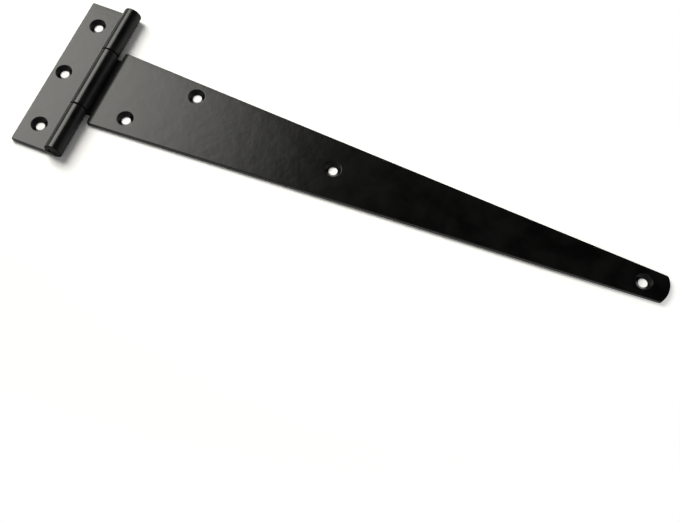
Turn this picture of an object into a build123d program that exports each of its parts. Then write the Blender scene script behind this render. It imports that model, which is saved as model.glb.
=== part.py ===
from build123d import *
import os
from math import asin, cos, pi, radians, sin, tan

# Tee hinge of folded steel sheet: a short frame flange, a long tapering strap and their pin.
# X runs from the pin to the strap's tip, Y along the pin and Z out of the mounting plane.
# The origin lies in the mounting plane, under the middle of the pin. Sizes are in millimetres.

# Sheet, pin and barrel
sheet_thickness = 2.5
pin_diameter = 4.5
pin_clearance = 0.05
pin_recess = 0.3
pin_chamfer = 0.4
curl_gap = 0.15
knuckle_gap = 0.25
edge_radius = 0.45

# Frame flange
flange_length = 90.0
flange_reach = 24.0
flange_corner_radius = 0.8
notch_clearance = 0.5
end_hole_margin = 12.7
end_hole_inset = 9.2
middle_hole_inset = 6.1

# Strap
strap_length = 304.8
centre_knuckle_length = 35.0
root_half_width = 22.75
tip_half_width = 7.1
tip_radius = 12.0
tip_corner_radius = 1.6
shoulder_clearance = 1.6
shoulder_corner_radius = 1.2
first_hole_distance = 23.7
first_hole_offset = -13.0
second_hole_distance = 51.6
second_hole_offset = 12.6
third_hole_distance = 131.8
tip_hole_margin = 12.8

# Countersunk screw holes
hole_diameter = 4.7
countersink_diameter = 8.5
countersink_angle = 90.0

# Both barrels come out equal: the flange grips the pin, and the strap's sheet gives up the clearance
pin_radius = pin_diameter / 2
strap_bore_radius = pin_radius + pin_clearance
barrel_radius = pin_radius + sheet_thickness
strap_thickness = barrel_radius - strap_bore_radius
shoulder = barrel_radius + shoulder_clearance
notch_edge = barrel_radius + notch_clearance
notch_half_width = centre_knuckle_length / 2 + knuckle_gap
end_knuckle_length = flange_length / 2 - notch_half_width


def curled_sheet(side, bore_radius, reach, length, middle):
    """A stretch of leaf and its knuckle: the sheet lies on the given side and curls up over the pin."""
    thickness = barrel_radius - bore_radius
    tuck = asin((barrel_radius - thickness - curl_gap) / barrel_radius)

    def around_pin(radius, angle):
        return (side * radius * cos(angle), barrel_radius + radius * sin(angle))

    sheet_end = (side * reach, thickness)
    curl_start = (0, thickness)
    tuck_inside = around_pin(bore_radius, -tuck)
    tuck_outside = around_pin(barrel_radius, -tuck)
    section = Plane.XZ * make_face(
        [
            Line((0, 0), (side * reach, 0)),
            Line((side * reach, 0), sheet_end),
            Line(sheet_end, curl_start),
            ThreePointArc(curl_start, around_pin(bore_radius, pi / 2), tuck_inside),
            Line(tuck_inside, tuck_outside),
            ThreePointArc(tuck_outside, around_pin(barrel_radius, pi / 2), (0, 0)),
        ]
    )
    return Pos(0, middle, 0) * extrude(section, length / 2, both=True)


def ease_edges(leaf, thickness):
    """Rounds the cut edges of the sheet, which also rounds the rims of its knuckles."""
    rims = []
    for edge in leaf.edges():
        centre = edge.center()
        on_a_face = min(abs(centre.Z), abs(centre.Z - thickness)) < 1e-6
        under_the_pin = abs(centre.X) < 1e-6
        if on_a_face and not under_the_pin:
            rims.append(edge)
    return fillet(rims, edge_radius)


def screw_hole(x, y, thickness):
    """Cutter for one countersunk hole that opens at the leaf's front face."""
    slope = tan(radians(countersink_angle / 2))
    depth = (countersink_diameter - hole_diameter) / 2 / slope
    mouth = 1.0
    cone = Cone(hole_diameter / 2, countersink_diameter / 2 + mouth * slope, depth + mouth)
    cone = Pos(0, 0, thickness - depth + (depth + mouth) / 2) * cone
    return Pos(x, y, 0) * (cone + Cylinder(hole_diameter / 2, 4 * thickness))


def make_flange():
    """Rectangular leaf, notched for the strap's knuckle, with a knuckle at each end."""
    width = flange_reach - notch_edge
    leaf = Pos(-notch_edge - width / 2, 0, sheet_thickness / 2) * Box(width, flange_length, sheet_thickness)
    for end in (-1, 1):
        middle = end * (notch_half_width + end_knuckle_length / 2)
        leaf += curled_sheet(-1, pin_radius, notch_edge + width / 2, end_knuckle_length, middle)
    outer_corners = leaf.edges().filter_by(Axis.Z).group_by(Axis.X)[0]
    leaf = fillet(outer_corners, flange_corner_radius)
    leaf = ease_edges(leaf, sheet_thickness)
    end_hole_offset = flange_length / 2 - end_hole_margin
    for offset in (-end_hole_offset, end_hole_offset):
        leaf -= screw_hole(end_hole_inset - flange_reach, offset, sheet_thickness)
    leaf -= screw_hole(middle_hole_inset - flange_reach, 0, sheet_thickness)
    return leaf


def strap_outline():
    """The strap in plan, from its shoulders to its bowed tip."""
    taper = make_face(
        Polyline(
            (shoulder, -root_half_width),
            (strap_length, -tip_half_width),
            (strap_length, tip_half_width),
            (shoulder, root_half_width),
            close=True,
        )
    )
    bow_centre = strap_length - tip_radius
    bow = Pos(bow_centre, 0) * Rot(0, 0, 180) * Circle(tip_radius)
    body = Pos((shoulder + bow_centre) / 2, 0) * Rectangle(bow_centre - shoulder, 2 * root_half_width)
    return taper & (body + bow)


def make_strap():
    """Long leaf that tapers to a bowed tip, with one knuckle on a tab narrower than its root."""
    leaf = extrude(strap_outline(), strap_thickness)
    corners = leaf.edges().filter_by(Axis.Z).sort_by(Axis.X)
    leaf = fillet(corners[:2], shoulder_corner_radius)
    corners = leaf.edges().filter_by(Axis.Z).sort_by(Axis.X)
    leaf = fillet(corners[-2:], tip_corner_radius)
    tab_reach = shoulder + 2 * shoulder_corner_radius
    leaf += curled_sheet(1, strap_bore_radius, tab_reach, centre_knuckle_length, 0)
    leaf = ease_edges(leaf, strap_thickness)
    leaf -= screw_hole(first_hole_distance, first_hole_offset, strap_thickness)
    leaf -= screw_hole(second_hole_distance, second_hole_offset, strap_thickness)
    leaf -= screw_hole(third_hole_distance, 0, strap_thickness)
    leaf -= screw_hole(strap_length - tip_hole_margin, 0, strap_thickness)
    return leaf


def make_pin():
    """Plain pin, a little shorter than the barrel."""
    length = flange_length - 2 * pin_recess
    pin = Pos(0, 0, barrel_radius) * Rot(90, 0, 0) * Cylinder(pin_radius, length)
    return chamfer(pin.edges().filter_by(GeomType.CIRCLE), pin_chamfer)


os.makedirs("parts", exist_ok=True)
export_step(make_flange(), "parts/flange_leaf.step")
export_step(make_strap(), "parts/strap_leaf.step")
export_step(make_pin(), "parts/hinge_pin.step")
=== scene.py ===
from math import asin, atan, cos, radians, sin
import bmesh
import bpy
from mathutils import Matrix, Vector


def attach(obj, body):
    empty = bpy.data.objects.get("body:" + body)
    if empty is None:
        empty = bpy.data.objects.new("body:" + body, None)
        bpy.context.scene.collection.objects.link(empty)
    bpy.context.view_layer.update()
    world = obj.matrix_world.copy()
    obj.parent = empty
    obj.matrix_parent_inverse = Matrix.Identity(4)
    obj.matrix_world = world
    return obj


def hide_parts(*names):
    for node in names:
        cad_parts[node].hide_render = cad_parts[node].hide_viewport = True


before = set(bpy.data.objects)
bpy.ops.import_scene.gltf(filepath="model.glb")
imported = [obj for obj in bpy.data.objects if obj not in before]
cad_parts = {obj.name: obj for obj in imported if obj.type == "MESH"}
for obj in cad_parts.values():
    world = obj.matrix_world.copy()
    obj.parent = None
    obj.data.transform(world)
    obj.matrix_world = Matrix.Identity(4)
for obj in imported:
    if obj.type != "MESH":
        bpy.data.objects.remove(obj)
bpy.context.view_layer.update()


# Frame flange
# A plate of 2.5 mm mild steel sheet with a notch in its inner edge, punched and countersunk flat. The two
# tabs beside the notch are rolled up over the pin and back down, and the whole is powder coated.
# All sizes are in millimetres, and MM turns them into metres.
MM = 0.001
barrel_radius = 4.75
curl_gap = 0.15
edge_radius = 0.45
flange_sheet = 2.5
flange_half_length = 45.0
flange_reach = 24.0
flange_corner = 0.8
notch_half_width = 17.75
notch_edge = 5.25
flange_holes = [(-14.8, 32.3), (-14.8, -32.3), (-17.9, 0.0)]
trim = 1.0


def flat_blank(outline, sheet):
    """The blank's front face, as one flat face that is still without holes."""
    bm = bmesh.new()
    corners = [bm.verts.new((x * MM, y * MM, sheet * MM)) for x, y in outline]
    bm.faces.new(corners)
    return bm


def round_corners(bm, places, setback):
    """Rounds the blank's corners that lie at these places."""
    hair = 0.001
    near = [v for v in bm.verts if any((v.co.xy - Vector(p) * MM).length < hair * MM for p in places)]
    bmesh.ops.bevel(
        bm, geom=near, offset=setback * MM, offset_type="OFFSET", segments=6, profile=0.5,
        affect="VERTICES", material=-1,
    )


def punch_and_thicken(bm, holes, sheet):
    """Punches and countersinks the screw holes, thickens the blank to its sheet and eases its edges."""
    hole_radius = 2.35
    rim_radius = 4.25
    rim_rounding = 0.12
    margin = 0.6
    level_within = 0.0001
    sharp_turn = radians(30)
    land = sheet - (rim_radius - hole_radius)
    border = bmesh.ops.inset_region(
        bm, faces=bm.faces[:], thickness=margin * MM, use_even_offset=True
    )["faces"]
    middle = [f for f in bm.faces if f not in border]
    loops = list(middle[0].edges)
    bmesh.ops.delete(bm, geom=middle, context="FACES_ONLY")
    for x, y in holes:
        centre = Matrix.Translation((x * MM, y * MM, sheet * MM))
        ring = bmesh.ops.create_circle(bm, segments=64, radius=(rim_radius + margin) * MM, matrix=centre)
        ring_edges = list(dict.fromkeys(e for v in ring["verts"] for e in v.link_edges))
        loops += ring_edges
        rim = bmesh.ops.extrude_edge_only(bm, edges=ring_edges)["geom"]
        share = rim_radius / (rim_radius + margin)
        bmesh.ops.scale(
            bm, vec=(share, share, 1), space=centre.inverted(),
            verts=[v for v in rim if isinstance(v, bmesh.types.BMVert)],
        )
    bmesh.ops.triangle_fill(bm, edges=loops, use_beauty=True, normal=(0, 0, 1))
    cone = bmesh.ops.extrude_face_region(bm, geom=bm.faces[:])["geom"]
    cone_verts = [v for v in cone if isinstance(v, bmesh.types.BMVert)]
    bmesh.ops.translate(bm, vec=(0, 0, (land - sheet) * MM), verts=cone_verts)
    for x, y in holes:
        centre = Matrix.Translation((x * MM, y * MM, 0))
        foot_reach = (rim_radius + margin / 2) * MM
        foot = [v for v in cone_verts if (v.co.xy - centre.translation.xy).length < foot_reach]
        share = hole_radius / rim_radius
        bmesh.ops.scale(bm, vec=(share, share, 1), space=centre.inverted(), verts=foot)
    faces = [f for f in cone if isinstance(f, bmesh.types.BMFace)]
    back = bmesh.ops.extrude_face_region(bm, geom=faces)["geom"]
    back_verts = [v for v in back if isinstance(v, bmesh.types.BMVert)]
    bmesh.ops.translate(bm, vec=(0, 0, -land * MM), verts=back_verts)
    bmesh.ops.recalc_face_normals(bm, faces=bm.faces[:])
    rims = []
    cut_edges = []
    for edge in bm.edges:
        start, end = edge.verts
        if abs(start.co.z - end.co.z) > level_within * MM or edge.calc_face_angle(0) < sharp_turn:
            continue
        half_way = ((start.co + end.co) / 2).xy
        from_hole = min((half_way - Vector(h) * MM).length for h in holes)
        if from_hole > (rim_radius + margin) * MM:
            cut_edges.append(edge)
        elif from_hole > (rim_radius + hole_radius) / 2 * MM:
            rims.append(edge)
    bmesh.ops.bevel(
        bm, geom=rims, offset=rim_rounding * MM, offset_type="OFFSET", segments=3, profile=0.5,
        affect="EDGES", material=-1, clamp_overlap=False,
    )
    bmesh.ops.bevel(
        bm, geom=cut_edges, offset=edge_radius * MM, offset_type="OFFSET", segments=4, profile=0.5,
        affect="EDGES", material=-1, loop_slide=False, clamp_overlap=False,
    )


def roll_knuckles(bm, side, sheet):
    """Trims the tabs under the pin and rolls them up over it, round to just above the leaf's face."""
    weld = 0.0001
    bmesh.ops.remove_doubles(bm, verts=bm.verts[:], dist=weld * MM)
    cut = bmesh.ops.bisect_plane(
        bm, geom=bm.verts[:] + bm.edges[:] + bm.faces[:], dist=weld * MM / 10,
        plane_co=(0, 0, 0), plane_no=(-side, 0, 0), clear_outer=True,
    )["geom_cut"]
    three_quarters = radians(270)
    tuck = asin((barrel_radius - sheet - curl_gap) / barrel_radius)
    end = bmesh.ops.spin(
        bm, geom=[g for g in cut if isinstance(g, (bmesh.types.BMVert, bmesh.types.BMEdge))],
        cent=(0, 0, barrel_radius * MM), axis=(0, side, 0), angle=three_quarters + tuck, steps=64,
    )["geom_last"]
    bmesh.ops.edgeloop_fill(bm, edges=[g for g in end if isinstance(g, bmesh.types.BMEdge)])
    bmesh.ops.remove_doubles(bm, verts=bm.verts[:], dist=weld * MM)
    bmesh.ops.recalc_face_normals(bm, faces=bm.faces[:])


def linear(hex_colour):
    """An sRGB hex colour as linear red, green, blue and alpha."""
    parts = [int(hex_colour[i:i + 2], 16) / 255 for i in (1, 3, 5)]
    return [c / 12.92 if c <= 0.04045 else ((c + 0.055) / 1.055) ** 2.4 for c in parts] + [1.0]


def add_node(tree, kind, settings=None, *numbered, **named):
    """Adds a node with its settings and its inputs, each a value or the output it is linked from."""
    node = tree.nodes.new(kind)
    for name, value in (settings or {}).items():
        setattr(node, name, value)
    inputs = [(node.inputs[number], value) for number, value in enumerate(numbered)]
    inputs += [(node.inputs[name.replace("_", " ")], value) for name, value in named.items()]
    for socket, value in inputs:
        if isinstance(value, bpy.types.NodeSocket):
            tree.links.new(value, socket)
        else:
            socket.default_value = value
    return node


def empty_material(name):
    """A new material with no nodes yet."""
    material = bpy.data.materials.new(name)
    material.use_nodes = True
    material.node_tree.nodes.clear()
    return material


def black_powder_coat():
    """Satin black polyester powder coat, baked on steel. It flows out almost smooth: a slow waviness and an
    orange peel break up its sheen, and its black is slightly cloudy. In the corner beside the barrel,
    where little powder reaches, it dries dull, which shows as a black line between barrel and strap."""
    satin = 0.2
    dull = 0.8
    corner_from_axis = 6.2 * MM
    dull_half_width = 0.9 * MM
    satin_from_corner = 2.6 * MM
    cloud_cell = 12.0 * MM
    wave_cell = 6.0 * MM
    wave_height = 0.07 * MM
    peel_cell = 1.6 * MM
    peel_height = 0.008 * MM
    # The powder's own grain is about 0.1 mm: it is drawn coarser, so that it shows from half a metre.
    grain_cell = 0.5 * MM
    grain_height = 0.0015 * MM
    material = empty_material("satin_black_powder_coat")
    tree = material.node_tree
    place = add_node(tree, "ShaderNodeTexCoord").outputs["Object"]
    relief = {}
    for cell, height, detail, roughness in (
        (wave_cell, wave_height, 2.0, 0.5),
        (peel_cell, peel_height, 1.0, 0.4),
        (grain_cell, grain_height, 1.0, 0.5),
    ):
        noise = add_node(
            tree, "ShaderNodeTexNoise", Vector=place, Scale=1 / cell, Detail=detail, Roughness=roughness,
        )
        bump = add_node(
            tree, "ShaderNodeBump", Strength=1.0, Distance=height, Height=noise.outputs["Fac"], **relief,
        )
        relief = {"Normal": bump.outputs["Normal"]}
    from_axis = add_node(tree, "ShaderNodeSeparateXYZ", Vector=place).outputs["X"]
    past_corner = add_node(tree, "ShaderNodeMath", {"operation": "SUBTRACT"}, from_axis, corner_from_axis)
    from_corner = add_node(tree, "ShaderNodeMath", {"operation": "ABSOLUTE"}, past_corner.outputs["Value"])
    dullness = add_node(
        tree, "ShaderNodeMapRange", Value=from_corner.outputs["Value"],
        From_Min=dull_half_width, From_Max=satin_from_corner, To_Min=dull, To_Max=satin,
    )
    clouds = add_node(
        tree, "ShaderNodeTexNoise", Vector=place, Scale=1 / cloud_cell, Detail=2.0, Roughness=0.6,
    )
    black = add_node(
        tree, "ShaderNodeMapRange", Value=clouds.outputs["Fac"], From_Min=0.35, From_Max=0.65,
        To_Min=linear("#060606")[0], To_Max=linear("#101010")[0],
    )
    coat = add_node(
        tree, "ShaderNodeBsdfPrincipled", Base_Color=black.outputs["Result"],
        Roughness=dullness.outputs["Result"], IOR=1.3, **relief,
    )
    add_node(tree, "ShaderNodeOutputMaterial", Surface=coat.outputs["BSDF"])
    return material


def dull_powder_coat():
    """The same powder on the cut ends of the barrel, where it goes on thin and dries dull, so that the ends
    look blacker than the leaves."""
    grain_cell = 0.4 * MM
    grain_height = 0.01 * MM
    material = empty_material("dull_black_powder_coat")
    tree = material.node_tree
    place = add_node(tree, "ShaderNodeTexCoord").outputs["Object"]
    grain = add_node(
        tree, "ShaderNodeTexNoise", Vector=place, Scale=1 / grain_cell, Detail=2.0, Roughness=0.6,
    )
    tooth = add_node(
        tree, "ShaderNodeBump", Strength=1.0, Distance=grain_height, Height=grain.outputs["Fac"],
    )
    coat = add_node(
        tree, "ShaderNodeBsdfPrincipled", Base_Color=linear("#080808"), Roughness=0.6, IOR=1.15,
        Normal=tooth.outputs["Normal"],
    )
    add_node(tree, "ShaderNodeOutputMaterial", Surface=coat.outputs["BSDF"])
    return material


def finished_piece(bm, name, node, body):
    """Makes the mesh an object with its coat, in place of its CAD node, on its body."""
    bm.normal_update()
    for face in bm.faces:
        faces_along_pin = abs(face.normal.y) > 0.5
        in_barrel = abs(face.calc_center_median().x) < barrel_radius * MM
        face.material_index = int(faces_along_pin and in_barrel)
    mesh = bpy.data.meshes.new(name)
    bm.to_mesh(mesh)
    bm.free()
    mesh.shade_smooth()
    mesh.set_sharp_from_angle(angle=radians(40))
    mesh.materials.append(coat)
    mesh.materials.append(dull_coat)
    piece = bpy.data.objects.new(name, mesh)
    bpy.context.scene.collection.objects.link(piece)
    weighted = piece.modifiers.new("flat_faces_stay_flat", "WEIGHTED_NORMAL")
    weighted.keep_sharp = True
    weighted.weight = 80
    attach(piece, body)
    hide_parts(node)


coat = black_powder_coat()
dull_coat = dull_powder_coat()
flange_bm = flat_blank(
    [
        (-flange_reach, -flange_half_length),
        (trim, -flange_half_length),
        (trim, -notch_half_width),
        (-notch_edge, -notch_half_width),
        (-notch_edge, notch_half_width),
        (trim, notch_half_width),
        (trim, flange_half_length),
        (-flange_reach, flange_half_length),
    ],
    flange_sheet,
)
round_corners(
    flange_bm, [(-flange_reach, -flange_half_length), (-flange_reach, flange_half_length)], flange_corner
)
punch_and_thicken(flange_bm, flange_holes, flange_sheet)
roll_knuckles(flange_bm, -1, flange_sheet)
finished_piece(flange_bm, "coated_flange", "flange_leaf", "flange")


# Pin
# A plain length of 4.5 mm steel rod with chamfered ends, pressed into the flange's knuckles and a little
# shorter than the barrel. The coat covers its ends.
pin_radius = 2.25
pin_half_length = 44.7
pin_chamfer = 0.4
pin_bm = bmesh.new()
bmesh.ops.create_cone(
    pin_bm, cap_ends=True, segments=64, radius1=pin_radius * MM, radius2=pin_radius * MM,
    depth=2 * pin_half_length * MM,
    matrix=Matrix.Translation((0, 0, barrel_radius * MM)) @ Matrix.Rotation(radians(90), 4, "X"),
)
pin_rims = [e for e in pin_bm.edges if e.calc_face_angle(0) > 1]
bmesh.ops.bevel(
    pin_bm, geom=pin_rims, offset=pin_chamfer * MM, offset_type="OFFSET", segments=3, profile=0.5,
    affect="EDGES", material=-1,
)
finished_piece(pin_bm, "pressed_pin", "hinge_pin", "flange")


# Strap
# A long tapering plate of the same sheet, 0.05 mm thinner, with a bowed tip. One tab, narrower than its
# root, is rolled over the pin the other way and turns on it in the flange's notch.
strap_sheet = 2.45
strap_length = 304.8
tab_half_width = 17.5
shoulder = 6.35
root_half_width = 22.75
tip_half_width = 7.1
tip_radius = 12.0
bow_centre = strap_length - tip_radius
bow_steps = 8
# The corners' roundings start this far from them.
shoulder_setback = 1.26
tip_setback = 0.75
strap_holes = [(23.7, -13.0), (51.6, 12.6), (131.8, 0.0), (292.0, 0.0)]
taper = (root_half_width - tip_half_width) / (strap_length - shoulder)
half_width_at_bow_centre = root_half_width - taper * (bow_centre - shoulder)
lean = atan(taper)
bow_start = asin(half_width_at_bow_centre * cos(lean) / tip_radius) - lean
bow_angles = [bow_start * step / bow_steps for step in range(-bow_steps, bow_steps + 1)]
bow = [(bow_centre + tip_radius * cos(angle), tip_radius * sin(angle)) for angle in bow_angles]
strap_bm = flat_blank(
    [
        (-trim, -tab_half_width),
        (shoulder, -tab_half_width),
        (shoulder, -root_half_width),
        *bow,
        (shoulder, root_half_width),
        (shoulder, tab_half_width),
        (-trim, tab_half_width),
    ],
    strap_sheet,
)
round_corners(strap_bm, [(shoulder, -root_half_width), (shoulder, root_half_width)], shoulder_setback)
round_corners(strap_bm, [bow[0], bow[-1]], tip_setback)
punch_and_thicken(strap_bm, strap_holes, strap_sheet)
roll_knuckles(strap_bm, 1, strap_sheet)
finished_piece(strap_bm, "coated_strap", "strap_leaf", "strap")


# Paper sweep
# White seamless paper, which isn't part of the hinge. It takes the shadow close by, and further out it is
# plain white for the camera, for gloss and for glass, as a lit backdrop is. Near the hinge it is whiter
# towards the tip, where less light falls on it, so that it looks evenly white.
paper_reach = 6000 * MM
under_hinge = 0.02 * MM
behind_flange = -50 * MM
past_tip = 350 * MM
whiteness_at_flange = 0.93
whiteness_at_tip = 1.53
shadow_middle = (30 * MM, 0.0, 0.0)
shadow_reach = (240 * MM, 120 * MM, 1.0)
shadow_fades_from = 0.9
plain_white_from = 1.4
floor_bm = bmesh.new()
bmesh.ops.create_grid(
    floor_bm, x_segments=1, y_segments=1, size=paper_reach, matrix=Matrix.Translation((0, 0, -under_hinge))
)
floor_mesh = bpy.data.meshes.new("white_paper")
floor_bm.to_mesh(floor_mesh)
floor_bm.free()
paper = empty_material("matt_white_paper")
tree = paper.node_tree
place = add_node(tree, "ShaderNodeTexCoord").outputs["Object"]
along = add_node(tree, "ShaderNodeSeparateXYZ", Vector=place).outputs["X"]
whiteness = add_node(
    tree, "ShaderNodeMapRange", Value=along, From_Min=behind_flange, From_Max=past_tip,
    To_Min=whiteness_at_flange, To_Max=whiteness_at_tip,
)
round_hinge = add_node(
    tree, "ShaderNodeMapping", {"vector_type": "TEXTURE"}, Vector=place, Location=shadow_middle,
    Scale=shadow_reach,
)
distance = add_node(tree, "ShaderNodeVectorMath", {"operation": "LENGTH"}, round_hinge.outputs["Vector"])
far_off = add_node(
    tree, "ShaderNodeMapRange", {"interpolation_type": "SMOOTHSTEP"}, Value=distance.outputs["Value"],
    From_Min=shadow_fades_from, From_Max=plain_white_from,
)
rays = add_node(tree, "ShaderNodeLightPath").outputs
camera_or_gloss = add_node(
    tree, "ShaderNodeMath", {"operation": "MAXIMUM"}, rays["Is Camera Ray"], rays["Is Glossy Ray"],
)
seen = add_node(
    tree, "ShaderNodeMath", {"operation": "MAXIMUM"},
    camera_or_gloss.outputs["Value"], rays["Is Transmission Ray"],
)
lighting_paper = add_node(tree, "ShaderNodeBsdfDiffuse", Color=linear("#e7e7e7"))
near_paper = add_node(tree, "ShaderNodeBsdfDiffuse", Color=whiteness.outputs["Result"])
far_paper = add_node(tree, "ShaderNodeEmission", Color=linear("#ffffff"), Strength=1.0)
seen_paper = add_node(
    tree, "ShaderNodeMixShader", None,
    far_off.outputs["Result"], near_paper.outputs["BSDF"], far_paper.outputs["Emission"],
)
mixed = add_node(
    tree, "ShaderNodeMixShader", None,
    seen.outputs["Value"], lighting_paper.outputs["BSDF"], seen_paper.outputs["Shader"],
)
add_node(tree, "ShaderNodeOutputMaterial", Surface=mixed.outputs["Shader"])
floor_mesh.materials.append(paper)
floor = bpy.data.objects.new("white_paper", floor_mesh)
bpy.context.scene.collection.objects.link(floor)


# Lights and camera
# A large soft box on the flange's side shines evenly up to its middle and fades out towards its top, so
# the grey sheen it gives the leaves fades along the strap. A small weak one on the near side lightens
# the shadows beside the barrel and the near edges. The studio is pale at the horizon and dark overhead.
def soft_box(name, width, height, watts, place, turn):
    """A soft box that lights the hinge but isn't seen itself."""
    lamp = bpy.data.lights.new(name, "AREA")
    lamp.shape = "RECTANGLE"
    lamp.size = width
    lamp.size_y = height
    lamp.energy = watts
    lamp.color = (1.0, 0.985, 0.93)
    box = bpy.data.objects.new(name, lamp)
    box.location = place
    box.rotation_euler = turn
    box.visible_camera = False
    bpy.context.scene.collection.objects.link(box)
    return lamp


key_distance = 800 * MM
key_tilt = radians(30)
key_place = (-key_distance * sin(key_tilt), 280 * MM, key_distance * cos(key_tilt))
key_lamp = soft_box(
    "key_soft_box", width=720 * MM, height=500 * MM, watts=12.9, place=key_place, turn=(0, -key_tilt, 0),
)
key_lamp.use_nodes = True
tree = key_lamp.node_tree
tree.nodes.clear()
across = add_node(tree, "ShaderNodeNewGeometry").outputs["Parametric"]
upwards = add_node(tree, "ShaderNodeSeparateXYZ", Vector=across).outputs["X"]
fade = add_node(
    tree, "ShaderNodeMapRange", {"interpolation_type": "SMOOTHSTEP"}, Value=upwards,
    From_Min=0.50, From_Max=1.07, To_Min=1.0, To_Max=0.0,
)
diffuser = add_node(tree, "ShaderNodeEmission", Strength=fade.outputs["Result"])
add_node(tree, "ShaderNodeOutputLight", Surface=diffuser.outputs["Emission"])

fill_place = Vector((200, -450, 690)) * MM
fill_aim = Vector((100, 0, 0)) * MM
fill_turn = (fill_aim - fill_place).to_track_quat("-Z", "Y").to_euler()
soft_box("fill_soft_box", width=350 * MM, height=350 * MM, watts=0.45, place=fill_place, turn=fill_turn)

pale_horizon = 0.85
dark_overhead = 0.01
world = bpy.data.worlds.new("studio")
bpy.context.scene.world = world
world.use_nodes = True
tree = world.node_tree
tree.nodes.clear()
direction = add_node(tree, "ShaderNodeTexCoord").outputs["Generated"]
height = add_node(tree, "ShaderNodeSeparateXYZ", Vector=direction).outputs["Z"]
band = add_node(
    tree, "ShaderNodeMapRange", {"interpolation_type": "SMOOTHSTEP"}, Value=height,
    From_Min=0.05, From_Max=0.8, To_Min=pale_horizon, To_Max=dark_overhead,
)
camera_ray = add_node(tree, "ShaderNodeLightPath").outputs["Is Camera Ray"]
seen_white = add_node(tree, "ShaderNodeMath", {"operation": "MAXIMUM"}, band.outputs["Result"], camera_ray)
sky = add_node(tree, "ShaderNodeBackground", Color=seen_white.outputs["Value"], Strength=1.0)
add_node(tree, "ShaderNodeOutputWorld", Surface=sky.outputs["Background"])

lens = bpy.data.cameras.new("camera")
lens.lens = 53.844
lens.sensor_width = 36.0
camera = bpy.data.objects.new("camera", lens)
camera.location = (214.97 * MM, -227.71 * MM, 449.70 * MM)
camera.rotation_euler = (radians(23.283), radians(-1.290), radians(21.615))
bpy.context.scene.collection.objects.link(camera)
bpy.context.scene.camera = camera
bpy.context.scene.view_settings.view_transform = "Standard"
